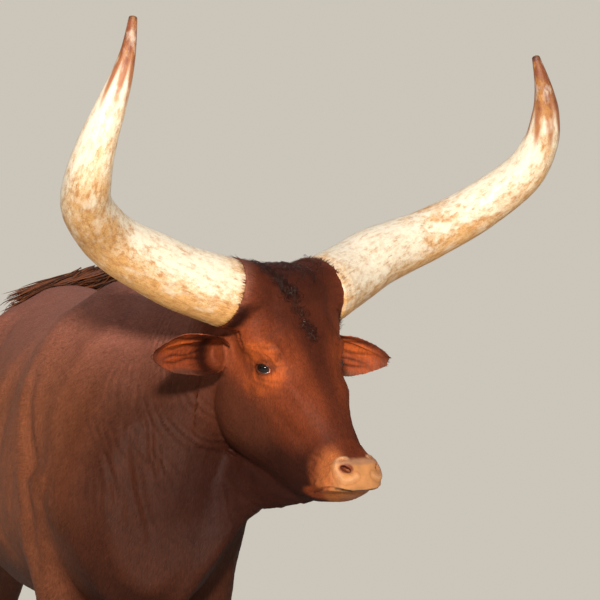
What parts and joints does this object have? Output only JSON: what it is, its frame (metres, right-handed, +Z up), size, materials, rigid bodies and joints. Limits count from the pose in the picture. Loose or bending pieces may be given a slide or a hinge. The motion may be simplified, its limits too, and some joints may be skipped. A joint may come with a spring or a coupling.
{
  "type": "ankole-watusi cattle model",
  "caption": "Life-size standing ankole-watusi cattle, head turned to its left, long upswept horns, dewlap, cloven hooves and a tail flicked over the rump.",
  "frame": {"origin": "on the floor, at the middle of the whole model's box", "axes": "+X towards the front of the animal, +Y towards its left, +Z up"},
  "size_m": [2.482, 1.2302, 1.9358],
  "materials": {
    "hide": "short, flat, glossy reddish-brown coat",
    "hair": "long wavy dark brown tail hair",
    "horn": "cream horn with tan flecks and reddish-brown tips",
    "eye": "wet dark brown eye",
    "hoof": "dark grey-brown horn"
  },
  "bodies": {
    "root": {"torso": "hide", "neck": "hide", "head": "hide", "leg_front_left": "hide", "leg_front_right": "hide", "leg_hind_left": "hide", "leg_hind_right": "hide", "ear_left": "hide", "ear_right": "hide", "tail_root": "hide", "tail_middle": "hide", "tail_end": "hide", "tail_switch": "hair", "horn_left": "horn", "horn_right": "horn", "eye_left": "eye", "eye_right": "eye", "hoof_front_left_inner": "hoof", "hoof_front_left_outer": "hoof", "hoof_front_right_inner": "hoof", "hoof_front_right_outer": "hoof", "hoof_hind_left_inner": "hoof", "hoof_hind_left_outer": "hoof", "hoof_hind_right_inner": "hoof", "hoof_hind_right_outer": "hoof", "dewclaw_front_left_1": "hoof", "dewclaw_front_left_2": "hoof", "dewclaw_front_right_1": "hoof", "dewclaw_front_right_2": "hoof", "dewclaw_hind_left_1": "hoof", "dewclaw_hind_left_2": "hoof", "dewclaw_hind_right_1": "hoof", "dewclaw_hind_right_2": "hoof"}
  },
  "joints": []
}
